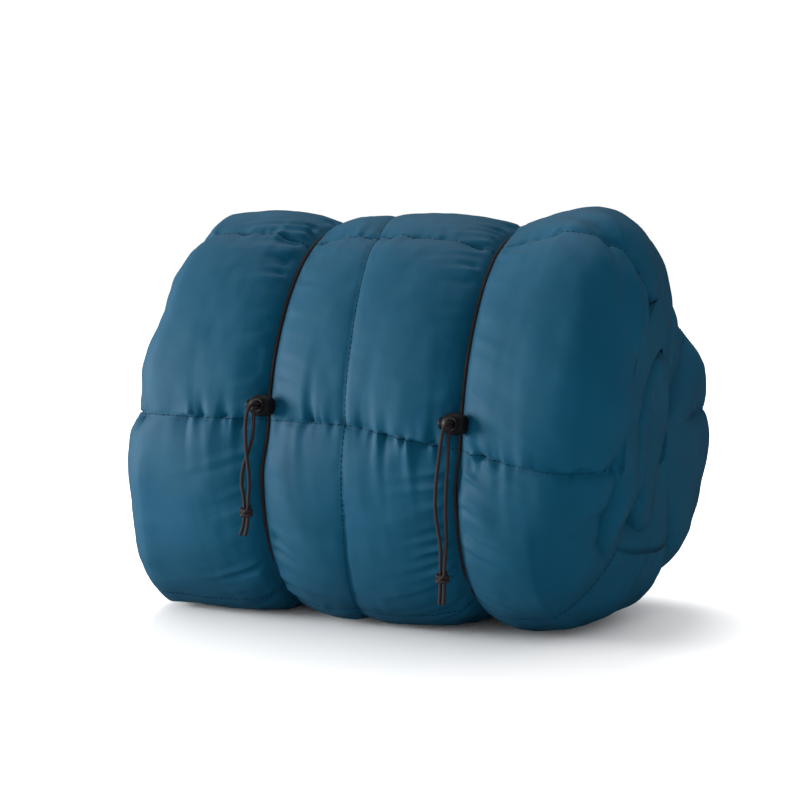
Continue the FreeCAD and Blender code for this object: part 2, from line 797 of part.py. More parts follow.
def write_parts():
    """Writes each sub-part to its own STEP file and prints its size."""
    os.makedirs("parts", exist_ok=True)
    for item in PARTS:
        item.Shape.exportStep(f"parts/{item.Label}.step")
        bounds = item.Shape.BoundBox
        print(
            f"{item.Label}: {len(item.Shape.Solids)} solid, {item.Shape.Volume:.0f} mm3,"
            f" x {bounds.XMin:.1f}..{bounds.XMax:.1f}, y {bounds.YMin:.1f}..{bounds.YMax:.1f},"
            f" z {bounds.ZMin:.1f}..{bounds.ZMax:.1f}"
        )


make_quilt()
make_cords()
for lock_side in ("left", "right"):
    make_barrel(lock_side)
    make_plunger(lock_side)
    make_spring(lock_side)
doc.recompute()
check_document()
write_parts()
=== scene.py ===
import json
import math

import bpy
import numpy as np
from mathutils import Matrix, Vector

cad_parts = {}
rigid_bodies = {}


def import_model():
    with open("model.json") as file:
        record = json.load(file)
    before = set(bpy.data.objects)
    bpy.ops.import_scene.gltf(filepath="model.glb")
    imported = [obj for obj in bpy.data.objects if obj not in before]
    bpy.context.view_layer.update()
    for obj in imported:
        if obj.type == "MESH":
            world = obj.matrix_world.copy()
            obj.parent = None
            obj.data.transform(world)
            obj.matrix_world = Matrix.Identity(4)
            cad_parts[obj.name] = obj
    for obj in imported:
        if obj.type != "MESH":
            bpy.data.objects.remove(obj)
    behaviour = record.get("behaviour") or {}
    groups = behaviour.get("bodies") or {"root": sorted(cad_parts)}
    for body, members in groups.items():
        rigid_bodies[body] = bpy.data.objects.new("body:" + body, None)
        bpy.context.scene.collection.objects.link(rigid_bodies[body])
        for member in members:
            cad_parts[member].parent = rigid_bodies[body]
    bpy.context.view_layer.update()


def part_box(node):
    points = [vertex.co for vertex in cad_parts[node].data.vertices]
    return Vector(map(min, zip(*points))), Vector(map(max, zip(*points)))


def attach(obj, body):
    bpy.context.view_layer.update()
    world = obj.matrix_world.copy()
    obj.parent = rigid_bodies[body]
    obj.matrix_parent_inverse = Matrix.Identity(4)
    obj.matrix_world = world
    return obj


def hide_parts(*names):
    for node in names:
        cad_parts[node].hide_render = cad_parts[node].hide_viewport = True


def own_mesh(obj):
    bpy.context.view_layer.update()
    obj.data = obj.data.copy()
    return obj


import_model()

# The roll is shaped in millimetres and degrees, and turned into metres by MM. Its length lies along X.
# A roll angle is measured about the roll's axis from the front (-Y), over the top (+Z) to the back.
# The quilt is one long band. TAU is how far round the roll a point of it lies, from the free end inwards.

MM = 0.001

SKIN_LOW, SKIN_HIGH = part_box("face_fabric")
LOBE_RADIUS_MM = (SKIN_HIGH.y - SKIN_LOW.y) / 2 / MM
AXIS_HEIGHT_MM = SKIN_HIGH.z / MM - LOBE_RADIUS_MM


def groove_x_mm(node):
    """Where a held cord's plane cuts the roll's axis."""
    low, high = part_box(node)
    return (low.x + high.x) / 2 / MM


GROOVES_MM = (groove_x_mm("left_cord"), groove_x_mm("right_cord"))
GROOVE_DEPTH_MM = 19.4
GROOVE_RADIUS_MM = LOBE_RADIUS_MM - GROOVE_DEPTH_MM
GROOVE_DRAWN_OVER_MM = 9.0
GROOVES_DRAWN_UNDER_MM = (21.0, 15.0)
FREE_END_ANGLE = 150.0

# The band's outer face: how far round from the free end, and how far from the roll's axis.
OUTER_FACE = [
    (0, 167), (12, 174), (30, 179), (60, 180), (90, 176), (120, 172), (165, 171), (210, 170.5),
    (255, 170), (300, 171), (330, 168), (350, 161), (372, 148), (400, 134), (450, 128), (570, 122),
    (720, 112), (760, 98), (930, 76), (1080, 60), (1130, 46), (1200, 30),
]
# The ends of the outermost turn, by tau: how far along the roll they reach, how long and how deep the
# rounding of the fold is, and the radius at which the fold's flat face stops.
RIGHT_END = [
    (0, 193, 45, 45, 40), (12, 200, 38, 38, 12), (45, 203, 35, 38, 0.8), (75, 202, 43, 47, 0.8),
    (100, 197, 50, 59, 0.8), (125, 189, 55, 66, 0.8), (148, 183, 57, 62, 8), (160, 181, 57, 60, 50),
    (172, 181, 57, 58, 100), (190, 185, 57, 57, 112), (203, 196, 57, 57, 112), (218, 206, 57, 57, 112),
    (250, 208, 57, 57, 112), (275, 208, 57, 57, 112), (298, 201, 57, 57, 108), (308, 200, 57, 72, 40),
    (318, 198, 57, 84, 8), (350, 193, 52, 70, 8), (378, 186, 34, 34, 10), (400, 168, 16, 16, 112),
]
LEFT_END = [
    (0, 190, 34, 34, 128), (60, 206, 30, 30, 128), (110, 225, 24, 24, 128), (152, 223, 25, 25, 128),
    (180, 211, 32, 32, 128), (210, 200, 34, 34, 128), (240, 189, 34, 34, 128), (280, 190, 34, 34, 128),
    (305, 194, 32, 32, 128), (340, 188, 34, 34, 128), (372, 184, 24, 24, 120), (400, 182, 16, 16, 112),
]
BAND_END = 1190.0
FINE_END = 372.0
FINE_STEP = 0.7
COARSE_STEP = 2.0
SEAM_TAUS = (30, 91, 152, 215, 278, 341)
FRONT_SEAM_TAU = 215
LOW_SEAM_TAU = 152
INNER_SEAM_SPACING_MM = 186.0


def ease(start, stop, x):
    """0 below start, 1 above stop, and smooth between them."""
    share = np.clip((x - start) / (stop - start), 0, 1)
    return share * share * (3 - 2 * share)


def bump(x, width):
    """A rounded bump of height 1 at x = 0."""
    return np.exp(-((x / width) ** 2))


class Noise:
    """Smooth random values between -1 and 1 on a plane, the same on every run."""

    SIZE = 256

    def __init__(self, seed):
        self.values = np.random.default_rng(seed).uniform(-1, 1, (self.SIZE, self.SIZE))

    def __call__(self, u, v=0.0):
        u, v = np.broadcast_arrays(np.asarray(u, float), np.asarray(v, float))
        column = np.floor(u).astype(int)
        row = np.floor(v).astype(int)
        along = ease(0, 1, u - column)
        across = ease(0, 1, v - row)

        def corner(i, j):
            return self.values[(column + i) % self.SIZE, (row + j) % self.SIZE]

        near = corner(0, 0) * (1 - along) + corner(1, 0) * along
        far = corner(0, 1) * (1 - along) + corner(1, 1) * along
        return near * (1 - across) + far * across


# ---- the shape of the rolled band -------------------------------------------------------------------


def smoothed(table, column, tau):
    """One column of a table by tau, with its corners rounded off."""
    table = np.array(table, float)
    spread = np.linspace(-12, 12, 13)
    weights = np.exp(-((spread / 7) ** 2))
    samples = [np.interp(tau + s, table[:, 0], table[:, column]) * w for s, w in zip(spread, weights)]
    return np.sum(samples, axis=0) / weights.sum()


def outer_radius(tau):
    """The band's outer face in the lobes."""
    return smoothed(OUTER_FACE, 1, tau)


def inner_radius(tau):
    """The band's inner face: it lies on the next turn's outer face, and thins towards the core."""
    below = outer_radius(tau + 360) + 1.0
    core = outer_radius(tau) * 0.35
    return np.where(tau + 360 < BAND_END, below, np.minimum(below, core))


def roll_angle(tau):
    """The angle about the roll's axis, from the front over the top."""
    return FREE_END_ANGLE + tau - 360


def vertical_seam_x(tau):
    """The seam along the quilt's length: it runs round the roll in the middle lobe, and bows to the left."""
    return -3.0 - 42.0 * (1 - bump(np.mod(roll_angle(tau) - 8 + 180, 360) - 180, 85))


def groove_lines(tau):
    """Where the two cords lie along the roll, drawn a little left over the top and more underneath."""
    angle = np.mod(roll_angle(tau) + 180, 360) - 180
    over = GROOVE_DRAWN_OVER_MM * bump(angle - 88, 38)
    under = bump(angle + 72, 60) * (1 - ease(-12, 6, angle))
    return tuple(groove - over - draw * under for groove, draw in zip(GROOVES_MM, GROOVES_DRAWN_UNDER_MM))


def lobe_height(x, tau):
    """0 in the cord grooves, 1 on the crowns of the three lobes."""
    left, right = groove_lines(tau)
    half_middle = (right - left) / 2
    end_run = 58.0
    floor = 1.7
    to_left = np.abs(x - left) - floor
    to_right = np.abs(x - right) - floor
    run_left = np.where(x < left, end_run, half_middle - floor)
    run_right = np.where(x > right, end_run, half_middle - floor)
    share = np.clip(np.minimum(to_left / run_left, to_right / run_right), 0, 1)
    return (1 - (1 - share) ** 2.7) ** 0.56


def row_taus():
    """The rows of the band's grid: fine on the outermost turn, coarse further in, exact on each seam."""
    fine = np.arange(0, FINE_END, FINE_STEP)
    coarse = np.arange(FINE_END, BAND_END + COARSE_STEP, COARSE_STEP)
    taus = np.concatenate([fine, coarse])
    for seam in SEAM_TAUS:
        taus[np.abs(taus - seam).argmin()] = seam
    return taus


class Band:
    """The grid of the whole rolled quilt: rows along the band and columns round its cross section."""

    TOP_STEP_MM = 2.2
    CORNER_STEPS = 22
    CAP_STEPS = 14
    UNDER_STEPS = 4
    UNDERSIDE_STEPS = 6
    CORNER_START_MM = 140.0

    def __init__(self):
        self.tau = row_taus()
        self.outer = outer_radius(self.tau)
        self.make_columns()
        self.measure_seams()
        self.place()

    def make_columns(self):
        """Each column's part of the section and its place in that part."""
        reach = self.CORNER_START_MM
        flat = np.linspace(-reach, reach, int(2 * reach / self.TOP_STEP_MM) + 1)
        for groove in GROOVES_MM:
            for offset in (-2.2, 0, 2.2):
                flat[np.abs(flat - groove - offset).argmin()] = groove + offset
        flat = np.sort(flat)
        self.seam_column = flat[np.abs(flat + 5).argmin()]
        corner = np.linspace(0, 90, self.CORNER_STEPS + 1)[1:]
        cap = np.linspace(0, 1, self.CAP_STEPS + 1)[1:]
        under = np.linspace(0, 1, self.UNDER_STEPS + 1)[1:]
        bottom = np.linspace(1, -1, self.UNDERSIDE_STEPS + 2)[1:-1]
        self.section = [("top", x) for x in flat]
        self.section += [("right", a) for a in corner]
        self.section += [("right_cap", s) for s in cap]
        self.section += [("right_under", s) for s in under]
        self.section += [("bottom", s) for s in bottom]
        self.section += [("left_under", s) for s in under[::-1]]
        self.section += [("left_cap", s) for s in cap[::-1]]
        self.section += [("left", a) for a in corner[::-1]]
        self.names = np.array([name for name, _ in self.section])
        across = ("left_under", "left_cap", "left", "top", "right", "right_cap", "right_under")
        self.cover = np.concatenate([np.flatnonzero(self.names == part) for part in across])

    def measure_seams(self):
        """How far along the band each row is, and how far from its nearest cross seam, in millimetres."""
        tau = self.tau
        steps = np.radians(np.diff(tau)) * (self.outer[1:] + self.outer[:-1]) / 2
        self.travel = np.concatenate([[0], np.cumsum(steps)])
        outermost = [np.interp(seam, tau, self.travel) for seam in SEAM_TAUS]
        inner = [outermost[-1] + INNER_SEAM_SPACING_MM * n for n in range(1, 8)]
        distances = self.travel - np.array(outermost + inner)[:, None]
        self.nearest = np.abs(distances).argmin(axis=0)
        self.distance = distances[self.nearest, np.arange(len(tau))]
        self.depth = np.where(self.nearest == SEAM_TAUS.index(LOW_SEAM_TAU), 0.25, 1.0)

    def end_shape(self, side):
        """Reach, small ripples of the reach, rounding and face radius of one end, row by row."""
        tau = self.tau
        table = RIGHT_END if side > 0 else LEFT_END
        reach, run, drop, face = (smoothed(table, column, tau) for column in (1, 2, 3, 4))
        inside = ease(372, 400, tau)
        if side > 0:
            turn = np.radians(roll_angle(tau))
            middle = (outer_radius(tau) + inner_radius(tau)) / 2
            height = middle * np.sin(turn)
            behind = -middle * np.cos(turn)
            reach = reach + 38 * inside * ease(-130, -30, height) * (1 - ease(4, 30, behind))
        wobble = Noise(11 + side)
        ripple = (0.9 + 0.3 * side) * wobble(tau / 13) + 0.3 * wobble(tau / 4, 5)
        ripple = ripple - 2.4 * self.depth * np.exp(-np.abs(self.distance) / 12)
        hem = 1 - ease(0, 16, tau)
        wrapped = np.where(tau + 360 < BAND_END, inner_radius(tau) + 1, 2.0)
        face = np.where(tau > 386, wrapped, face)
        return reach - 10 * hem, ripple, run, drop, face

    def place(self):
        """Every grid point in the roll's own polar coordinates, then in space."""
        tau = self.tau
        outer = self.outer
        inner = inner_radius(tau)
        shell = outer_radius(np.mod(tau, 360))
        ends = {side: self.end_shape(side) for side in (-1, 1)}
        right_top = 8 * bump(roll_angle(tau) - 82, 42) * (tau < 372)
        right_bottom = 11 * bump(roll_angle(tau) + 92, 46) * (tau < 372)
        sag = 6 * bump(roll_angle(tau) + 66, 26) * (tau < 372)
        x = np.zeros((len(tau), len(self.section)))
        r = np.zeros_like(x)
        for j, (part, place) in enumerate(self.section):
            side = -1 if part.startswith("left") else 1
            reach, ripple, run, drop, face = ends[side]
            edge = outer - drop
            low = np.minimum(face, edge)
            if part == "top":
                bends = [line - groove for line, groove in zip(groove_lines(tau), GROOVES_MM)]
                bow = vertical_seam_x(tau) - self.seam_column
                bow = bow - 0.5 * (bends[0] + bends[1])
                lie = np.interp(place, (-140, GROOVES_MM[0], GROOVES_MM[1], 140), (0, 1, 1, 0))
                near_seam = np.clip(1 - abs(place - self.seam_column) / 60, 0, 1)
                x[:, j] = place + bends[0] * lie + bow * near_seam
                r[:, j] = outer
            elif part in ("left", "right"):
                a = math.radians(place)
                stretch = (reach + ripple - run - self.CORNER_START_MM) * min(1, 3 * math.sin(a))
                x[:, j] = side * (self.CORNER_START_MM + stretch + run * math.sin(a))
                r[:, j] = edge + drop * math.cos(a)
            elif part.endswith("cap"):
                flatter = ripple * (1 - ease(0, 0.6, place))
                x[:, j] = side * (reach + flatter + 0.02 * (edge - low) * math.sin(math.pi * place))
                r[:, j] = edge + (low - edge) * place
            elif part.endswith("under"):
                x[:, j] = side * (reach - 10 * math.sin(math.pi / 2 * place))
                r[:, j] = low + (inner - low) * place
            else:
                x[:, j] = place * 180
                r[:, j] = inner
            if side > 0:
                r[:, j] += right_top * ease(96, 150, x[:, j]) * (part in ("top", "right"))
                r[:, j] -= right_bottom * ease(96, 170, x[:, j]) * (part in ("top", "right"))
        skin = np.isin(self.names, ("left", "top"))
        r += sag[:, None] * (1 - ease(40, 100, x)) * skin
        cinch = 1 - (1 - lobe_height(x, tau[:, None])) * (1 - GROOVE_RADIUS_MM / shell)[:, None]
        self.x = x
        self.r = r * cinch
        self.points = self.to_space(self.x, self.r)

    def loose(self):
        """The same grid as the cloth was cut: larger than it lies, with the grooves partly let out."""
        outer = self.outer[:, None]
        let_out = np.isin(self.names, ("top", "left", "right"))
        r = np.where(let_out, self.r + 0.35 * np.maximum(outer - self.r, 0), self.r)
        return self.to_space(self.x * 1.03, r * 1.03)

    def to_space(self, x, r):
        """Roll coordinates to space, in metres, with the bottom pressed flat on the floor."""
        tilt = 0.06 * np.clip(x, 0, 200) * bump(self.tau[:, None] - FRONT_SEAM_TAU, 35)
        angle = np.radians(roll_angle(self.tau[:, None]) - tilt)
        y = -r * np.cos(angle)
        z = AXIS_HEIGHT_MM + r * np.sin(angle)
        soft = 3.0
        z = 0.6 + soft * np.logaddexp(0, (z - 0.6) / soft)
        return np.stack([x, y, z], axis=-1) * MM

    def normals(self):
        """The outward direction at every point of the cover."""
        points = self.points[:, self.cover]
        out = np.cross(np.gradient(points, axis=1), np.gradient(points, axis=0))
        return out / np.maximum(np.linalg.norm(out, axis=-1, keepdims=True), 1e-12)

    def mesh(self):
        """The band as one closed mesh."""
        rows, columns = self.x.shape
        index = np.arange(rows * columns).reshape(rows, columns)
        ahead = np.roll(index, -1, axis=1)
        quads = np.stack([index[:-1], ahead[:-1], ahead[1:], index[1:]], axis=-1).reshape(-1, 4)
        mesh = bpy.data.meshes.new("quilt")
        faces = quads.tolist() + [index[0][::-1].tolist(), index[-1].tolist()]
        mesh.from_pydata(self.points.reshape(-1, 3).tolist(), [], faces)
        mesh.shade_smooth()
        return mesh


# ---- cloth simulation of the outermost turn ---------------------------------------------------------

FRAMES = 18
PRESSURE = 3.0
MOST_SWELL_MM = 11.0


def finer(values, known, count):
    """Fills in the rows between some known ones along smooth curves."""
    place = np.interp(np.arange(count), known, np.arange(len(known)))
    low = np.clip(place.astype(int), 0, len(known) - 2)
    share = (place - low)[:, None, None]
    before = values[np.maximum(low - 1, 0)]
    start = values[low]
    stop = values[low + 1]
    after = values[np.minimum(low + 2, len(known) - 1)]
    cubic = 3 * (start - stop) + after - before
    square = 2 * before - 5 * start + 4 * stop - after
    return start + 0.5 * share * (stop - before + share * (square + share * cubic))


def held_points(band, rows, columns):
    """Which cover points the stitching, the cords, the floor and the rest of the band hold still."""
    x = band.x[np.ix_(rows, columns)]
    held = np.zeros(x.shape, bool)
    held[[0, -1]] = True
    held[:, [0, 1, -2, -1]] = True
    held[np.isin(band.tau[rows], SEAM_TAUS) & (band.tau[rows] != LOW_SEAM_TAU)] = True
    for line in groove_lines(band.tau[rows][:, None]):
        held |= np.abs(x - line) < 2.6
    held |= np.abs(x - vertical_seam_x(band.tau)[rows][:, None]) < 1.0
    held |= band.points[np.ix_(rows, columns)][..., 2] < 2.5 * MM
    return held


def simulated(base, rest, held):
    """A grid of cloth after it has been inflated over its held points."""
    count = held.size
    index = np.arange(count).reshape(held.shape)
    corners = (index[:-1, :-1], index[:-1, 1:], index[1:, 1:], index[1:, :-1])
    quads = np.stack(corners, axis=-1).reshape(-1, 4)
    mesh = bpy.data.meshes.new("cover")
    mesh.from_pydata(base.reshape(-1, 3).tolist(), [], quads.tolist())
    cover = bpy.data.objects.new("cover", mesh)
    bpy.context.scene.collection.objects.link(cover)
    cover.shape_key_add(name="placed")
    cut = cover.shape_key_add(name="cut")
    cut.data.foreach_set("co", rest.reshape(-1).astype(np.float32))
    group = cover.vertex_groups.new(name="held")
    group.add(index[held].tolist(), 1.0, "REPLACE")
    cloth = cover.modifiers.new("cloth", "CLOTH")
    settings = cloth.settings
    settings.rest_shape_key = cut
    settings.vertex_group_mass = "held"
    settings.quality = 4
    settings.mass = 0.15
    settings.air_damping = 2
    settings.tension_stiffness = 12
    settings.compression_stiffness = 6
    settings.shear_stiffness = 4
    settings.bending_stiffness = 0.2
    settings.use_pressure = True
    settings.uniform_pressure_force = PRESSURE
    settings.effector_weights.gravity = 0
    cloth.collision_settings.use_collision = False
    cloth.point_cache.frame_start = 1
    cloth.point_cache.frame_end = FRAMES
    for number in range(1, FRAMES + 1):
        bpy.context.scene.frame_set(number)
    shaped = cover.evaluated_get(bpy.context.evaluated_depsgraph_get()).data
    swollen = np.empty(count * 3, np.float32)
    shaped.vertices.foreach_get("co", swollen)
    bpy.data.objects.remove(cover)
    bpy.context.scene.frame_set(1)
    return swollen.reshape(base.shape).astype(float)


def swell_cover(band):
    """Inflates the outermost turn's cover on a coarser grid, and carries the move to every row and column."""
    last = int((band.tau < FINE_END).sum())
    seams = np.flatnonzero(np.isin(band.tau, SEAM_TAUS))
    rows = np.unique(np.concatenate([np.arange(0, last, 4), seams, [last - 1]]))
    x = band.x[0, band.cover]
    fixed = [np.abs(x - groove).argmin() for groove in GROOVES_MM]
    fixed.append(np.abs(x - vertical_seam_x(band.tau[0])).argmin())
    picked = np.unique(np.concatenate([np.arange(0, len(x), 3), fixed, [len(x) - 1]]))
    columns = band.cover[picked]
    base = band.points[np.ix_(rows, columns)]
    move = simulated(base, band.loose()[np.ix_(rows, columns)], held_points(band, rows, columns)) - base
    length = np.linalg.norm(move, axis=-1, keepdims=True)
    limit = MOST_SWELL_MM * MM
    move *= limit * np.tanh(length / limit) / np.maximum(length, 1e-9)
    along = finer(move, rows, last)
    across = finer(along.swapaxes(0, 1), picked, len(x)).swapaxes(0, 1)
    band.points[np.ix_(np.arange(last), band.cover)] += across


# ---- creases, puckers and folds ---------------------------------------------------------------------


def seam_relief(band, x, s):
    """Stitched seams: a narrow valley, with short gathers running out of it on both sides."""
    d = band.distance[:, None]
    away = np.abs(d)
    which = band.nearest[:, None] * 3.7 + (d > 0) * 1.9
    left, right = groove_lines(band.tau[:, None])
    clear = ease(3, 16, np.abs(x - left)) * ease(3, 16, np.abs(x - right))
    valley = -2.4 * np.exp(-away / 3.2) - 2.6 * bump(d, 17)
    gathers = Noise(3)(s / 6.5, which) + 0.8 * Noise(4)(s / 3.4, which) * np.exp(-away / 9)
    strength = 0.8 + 1.1 * np.clip(0.2 + Noise(5)(s / 30, which), 0, 1)
    at_front = band.nearest == SEAM_TAUS.index(FRONT_SEAM_TAU)
    pull = np.where(at_front, 2.7, 1.2)[:, None] * (1 + 0.6 * (x < -90))
    length = 8 + 14 * np.clip(0.4 + Noise(6)(s / 14, which), 0, 1)
    return band.depth[:, None] * clear * (valley + pull * strength * gathers * np.exp(-away / length))


def lengthwise_seam_relief(band, x):
    """The seam that runs round the roll in its middle lobe."""
    d = x - vertical_seam_x(band.tau)[:, None]
    gathers = Noise(8)(band.travel[:, None] / 6, (d > 0) * 2.3)
    return -2.0 * np.exp(-np.abs(d) / 3.0) - 1.8 * bump(d, 15) + 0.45 * gathers * np.exp(-np.abs(d) / 7)


def groove_relief(band, x):
    """Wrinkles that run out of each cord groove, where the cloth is drawn in."""
    relief = 0
    for number, line in enumerate(groove_lines(band.tau[:, None])):
        d = x - line
        away = np.abs(d)
        u = (band.travel[:, None] + 0.35 * away) / 6.5
        wrinkles = Noise(20 + number)(u, (d > 0) * 3.1 + away / 60)
        strength = 0.35 + np.clip(0.4 + Noise(24 + number)(band.travel[:, None] / 45, (d > 0) * 5.3), 0, 1)
        fade = ease(3, 10, away) * np.exp(-np.maximum(away - 6, 0) / 18)
        relief = relief + 4.4 * strength * wrinkles * fade
    return relief


def shoulder_folds(band, s):
    """Long curved folds on the right lobe, from its crown over the shoulder to the pinched front edge."""
    centre_s = 72.0
    centre = np.interp(FRONT_SEAM_TAU + 26, band.tau, band.travel)
    up = band.travel[:, None] - centre
    out = s - centre_s
    q = np.hypot(out, up)
    way = np.degrees(np.arctan2(up, out))
    inside = ease(0, 25, way) * (1 - ease(46, 66, way)) * ease(122, 140, q) * (1 - ease(180, 205, q))
    return 3.2 * Noise(31)(q / 8.0, way / 70) * inside * (band.tau[:, None] < 350)


def end_folds(band, s):
    """Folds on the rolled ends, running over the fold edges towards the middle."""
    over = ease(164, 200, np.abs(s))
    side = (s > 0) * 4.3
    broad = Noise(41)(band.tau[:, None] / 13, side + np.abs(s) / 60)
    fine = Noise(42)(band.tau[:, None] / 4.5 + np.abs(s) / 45, side + np.abs(s) / 40)
    spread = np.clip(band.r[:, band.cover] / 120, 0.05, 1)
    return over * spread * (2.0 * broad + 0.6 * fine)


def add_relief(band):
    """Moves the cover in and out along its normals by all the small shapes together."""
    x = band.x[:, band.cover]
    points = band.points[:, band.cover]
    steps = np.linalg.norm(np.diff(points, axis=1), axis=-1) / MM
    s = np.concatenate([np.zeros((len(points), 1)), np.cumsum(steps, axis=1)], axis=1)
    middle = np.abs(x[len(x) // 4]).argmin()
    s = s - s[:, middle : middle + 1] + x[:, middle : middle + 1]
    lie = Noise(1)(s / 48, band.travel[:, None] / 62) + 0.5 * Noise(2)(s / 22, band.travel[:, None] / 30)
    lie = lie + 0.22 * Noise(7)(s / 9, band.travel[:, None] / 15)
    on_lobes = lobe_height(x, band.tau[:, None])
    relief = seam_relief(band, x, s) + lengthwise_seam_relief(band, x) + groove_relief(band, x)
    relief = relief + 1.5 * lie * on_lobes + shoulder_folds(band, s) + end_folds(band, s)
    parts = band.names[band.cover]
    capped = np.isin(parts, ("left_cap", "right_cap"))
    relief = np.where(capped, relief * ease(45, 125, band.r[:, band.cover]), relief)
    free = ~np.isin(parts, ("left_under", "right_under"))
    for line in groove_lines(band.tau[:, None]):
        relief = relief * ease(3, 10, np.abs(x - line))
    relief = relief * free
    moved = points + band.normals() * relief[..., None] * MM
    moved[..., 2] = np.maximum(moved[..., 2], 0.0004)
    band.points[:, band.cover] = moved


# ---- stitches ---------------------------------------------------------------------------------------


def tube_mesh(name, paths, radius, sides=6):
    """Round tubes along several polylines, as one mesh, closed at their ends."""
    vertices = []
    faces = []
    for path in paths:
        path = np.asarray(path, float)
        along = np.gradient(path, axis=0)
        along /= np.maximum(np.linalg.norm(along, axis=1, keepdims=True), 1e-12)
        helper = np.array((0.31, 0.22, 0.92)) if abs(along[0][2]) < 0.8 else np.array((0.95, 0.25, 0.1))
        first = np.cross(along, helper)
        first /= np.linalg.norm(first, axis=1, keepdims=True)
        second = np.cross(along, first)
        base = len(vertices)
        for k in range(sides):
            a = 2 * math.pi * k / sides
            vertices += (path + radius * (math.cos(a) * first + math.sin(a) * second)).tolist()
        count = len(path)
        ring = [base + k * count for k in range(sides)]
        for k in range(sides):
            here, there = ring[k], ring[(k + 1) % sides]
            faces += [(here + i, here + i + 1, there + i + 1, there + i) for i in range(count - 1)]
        faces.append(ring)
        faces.append([start + count - 1 for start in ring[::-1]])
    mesh = bpy.data.meshes.new(name)
    mesh.from_pydata(vertices, [], faces)
    mesh.shade_smooth()
    return mesh


def dashes(line, out, stitch=3.3, gap=1.3):
    """A row of short stitches along a line, each bowed out of the cloth in its middle."""
    steps = np.linalg.norm(np.diff(line, axis=0), axis=1) / MM
    place = np.concatenate([[0], np.cumsum(steps)])
    starts = np.arange(1.0, place[-1] - stitch, stitch + gap)
    rows = []
    for start in starts:
        at = start + stitch * np.array([0, 0.25, 0.5, 0.75, 1])
        lift = np.array([-0.25, 0.2, 0.3, 0.2, -0.25])
        spot = np.stack([np.interp(at, place, line[:, k]) for k in range(3)], axis=1)
        away = np.stack([np.interp(at, place, out[:, k]) for k in range(3)], axis=1)
        rows.append(spot + away * lift[:, None] * MM)
    return rows


def make_stitches(band):
    """The lockstitch along every seam of the outermost turn, and along the hem at the free end."""
    out = band.normals()
    points = band.points[:, band.cover]
    shown = np.isin(band.names[band.cover], ("left", "top", "right"))
    rows = []
    hem_row = int(np.abs(band.tau - 3.5).argmin())
    for row in [int(np.abs(band.tau - seam).argmin()) for seam in SEAM_TAUS] + [hem_row]:
        rows += dashes(points[row, shown], out[row, shown])
    column = int(np.abs(band.x[0, band.cover] - vertical_seam_x(band.tau[0])).argmin())
    last = int((band.tau < 352).sum())
    rows += dashes(points[:last, column], out[:last, column])
    stitches = bpy.data.objects.new("stitches", tube_mesh("stitches", rows, 0.38 * MM))
    bpy.context.scene.collection.objects.link(stitches)
    return stitches


# ---- cords ------------------------------------------------------------------------------------------

CORD_DIAMETER_MM = 2.8
# Routes of the four free tails in millimetres, from the lock's mouth to the tip past the knot.
TAILS = {
    "left_tail_a": [
        (-73.5, -173.75, 195.04), (-74.4, -178.9, 195.8), (-76.7, -182.9, 191.4), (-78.1, -184.0, 183.0),
        (-78.5, -183.6, 170.0), (-77.4, -184.4, 157.0), (-76.1, -183.4, 143.5), (-75.9, -182.6, 131.0),
        (-77.4, -182.1, 121.0), (-77.4, -182.1, 100.5), (-80.1, -182.6, 91.5),
    ],
    "left_tail_b": [
        (-73.5, -174.22, 192.07), (-73.2, -178.3, 192.3), (-72.7, -180.7, 188.5), (-72.5, -180.9, 181.0),
        (-73.5, -180.8, 168.5), (-77.9, -181.0, 156.5), (-82.1, -181.4, 145.0), (-83.5, -181.9, 132.0),
        (-80.6, -182.1, 121.0), (-80.6, -182.1, 100.5), (-84.4, -182.7, 91.5),
    ],
    "right_tail_a": [
        (88.5, -174.66, 188.95), (87.7, -179.8, 189.4), (86.1, -183.4, 185.2), (85.1, -184.3, 177.5),
        (83.1, -184.0, 164.0), (80.2, -183.5, 143.0), (79.4, -183.2, 122.0), (82.7, -183.3, 105.0),
        (84.6, -183.4, 93.0), (84.2, -183.05, 82.0), (84.2, -183.05, 61.0), (83.3, -183.3, 51.0),
    ],
    "right_tail_b": [
        (88.5, -175.02, 185.98), (88.8, -179.1, 186.0), (89.4, -181.3, 182.2), (89.7, -181.6, 174.5),
        (89.1, -181.4, 160.0), (87.8, -181.5, 140.0), (87.1, -181.0, 120.0), (88.2, -181.3, 103.0),
        (88.2, -182.2, 93.0), (87.4, -183.05, 82.0), (87.4, -183.05, 61.0), (86.8, -183.4, 51.5),
    ],
}


def make_tail(name, points):
    """One free tail as a round cord along its route."""
    curve = bpy.data.curves.new(name, "CURVE")
    curve.dimensions = "3D"
    spline = curve.splines.new("NURBS")
    spline.points.add(len(points) - 1)
    for spot, point in zip(spline.points, points):
        spot.co = (*(c * MM for c in point), 1)
    spline.order_u = 3
    spline.use_endpoint_u = True
    spline.resolution_u = 6
    curve.bevel_depth = CORD_DIAMETER_MM / 2 * MM
    curve.bevel_resolution = 4
    curve.use_fill_caps = True
    tail = bpy.data.objects.new(f"{name}_cord", curve)
    bpy.context.scene.collection.objects.link(tail)
    return tail


